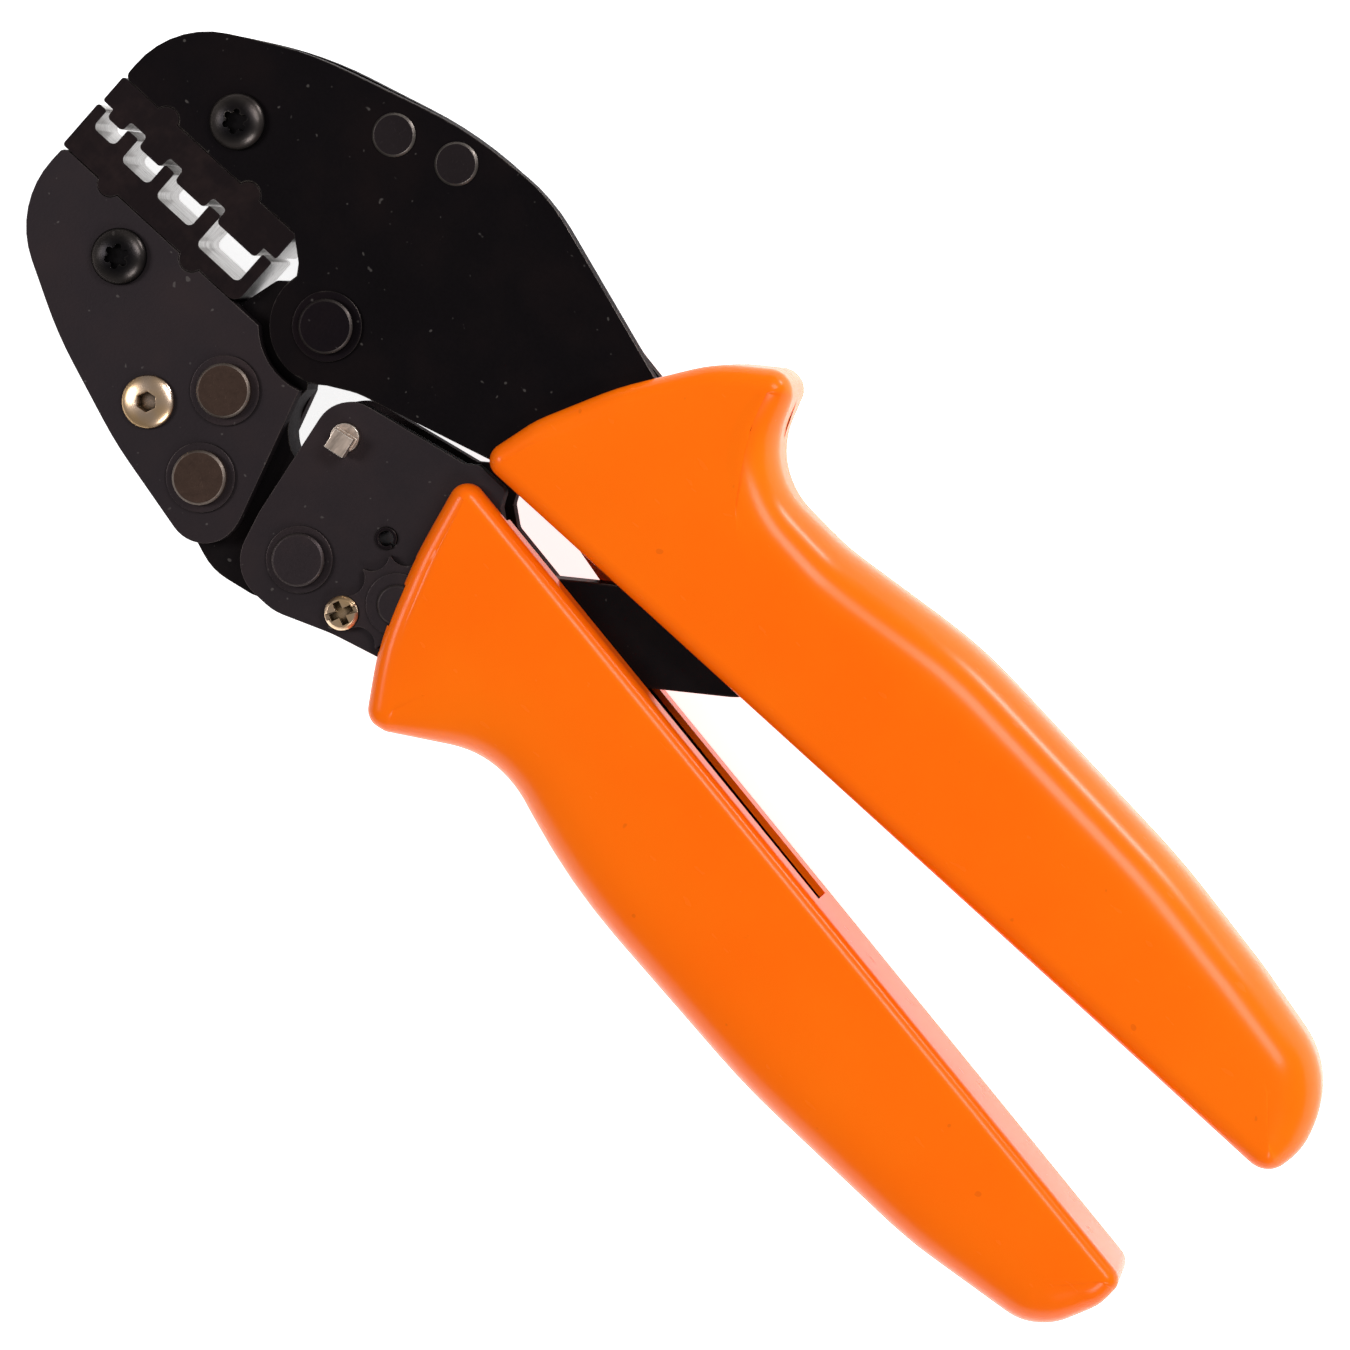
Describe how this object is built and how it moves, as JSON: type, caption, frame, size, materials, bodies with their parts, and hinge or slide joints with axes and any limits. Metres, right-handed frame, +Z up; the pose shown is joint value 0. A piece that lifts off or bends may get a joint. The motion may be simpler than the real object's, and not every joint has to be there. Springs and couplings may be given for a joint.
{
  "type": "ratchet crimping pliers",
  "caption": "Ratcheting hand crimping pliers with black steel plates, a toggle linkage, interchangeable crimping dies and orange plastic grips.",
  "frame": {"origin": "under the middle of the whole tool's bounding box, in the plane that the back grip halves rest on, at the rest pose", "axes": "+X to the nose of the jaws, along the parting line of the dies; +Y from the fixed jaw to the moving jaw; +Z up through the front plates"},
  "size_m": [0.2279, 0.0803, 0.021],
  "materials": {
    "black_plate": "satin black oxide",
    "black_core": "satin black oxide, oiled",
    "black_pin": "matte black oxide",
    "black_screw": "satin black oxide",
    "brown_pin": "turned, brown oxide",
    "die_steel": "black oxide with bright worn nests",
    "yellow_zinc": "pale yellow plating",
    "bare_steel": "ground",
    "spring_steel": "drawn wire",
    "orange_grip": "glossy moulded"
  },
  "bodies": {
    "frame": {"frame_plate_front": "black_plate", "frame_plate_back": "black_plate", "frame_spacer": "black_core", "frame_rivets": "black_pin", "main_pivot_pin": "black_pin", "main_pivot_washers": "black_pin", "die_upper": "die_steel", "die_screw_upper": "black_screw", "return_spring": "spring_steel", "link_pin": "black_pin", "frame_tang_spacer": "black_core", "frame_tang_rivets": "black_pin", "fixed_grip_front": "orange_grip", "fixed_grip_back": "orange_grip"},
    "jaw": {"jaw_lever": "black_core", "jaw_plate_front": "black_plate", "jaw_plate_back": "black_plate", "jaw_rivets": "brown_pin", "jaw_rivet_washers": "black_pin", "jaw_clamp_screw": "yellow_zinc", "jaw_clamp_nut": "yellow_zinc", "die_lower": "die_steel", "die_screw_lower": "black_screw"},
    "handle": {"handle_plate_front": "black_plate", "handle_plate_back": "black_plate", "handle_pivot_pin": "black_pin", "handle_pivot_washers": "black_pin", "adjuster_pin": "black_pin", "adjuster_wheel": "black_pin", "adjuster_washers": "black_pin", "adjuster_lock_screw": "yellow_zinc", "roll_pin": "black_pin", "pawl_spring": "spring_steel", "handle_spacer": "black_core", "handle_rivets": "black_pin", "moving_grip_front": "orange_grip", "moving_grip_back": "orange_grip"},
    "pawl_body": {"pawl": "bare_steel", "pawl_pin": "bare_steel"},
    "link": {"toggle_link": "black_core"}
  },
  "joints": [
    {"name": "jaw_pivot", "type": "hinge", "parent": "frame", "child": "jaw", "pos_m": [0.06765, -0.0014, 0.0105], "axis": [0, 0, 1], "range_deg": [-0.9, 5.4], "deforming": ["return_spring"]},
    {"name": "handle_pivot", "type": "hinge", "parent": "jaw", "child": "handle", "pos_m": [0.04825, 0.0262, 0.0105], "axis": [0, 0, 1], "range_deg": [-30, 4.8]},
    {"name": "link_pivot", "type": "hinge", "parent": "handle", "child": "link", "pos_m": [0.0329, 0.0212, 0.0105], "axis": [0, 0, 1], "range_deg": [-5.3, 32]},
    {"name": "pawl_pivot", "type": "hinge", "parent": "handle", "child": "pawl_body", "pos_m": [0.05505, 0.0087, 0.0105], "axis": [0, 0, 1], "range_deg": [-20, 0], "stiffness_Nm_per_rad": 0.05, "deforming": ["pawl_spring"]}
  ],
  "couplings": [
    {"joint": "jaw_pivot", "follows": "handle_pivot", "ratio": -0.175},
    {"joint": "link_pivot", "follows": "handle_pivot", "ratio": -1.05}
  ]
}
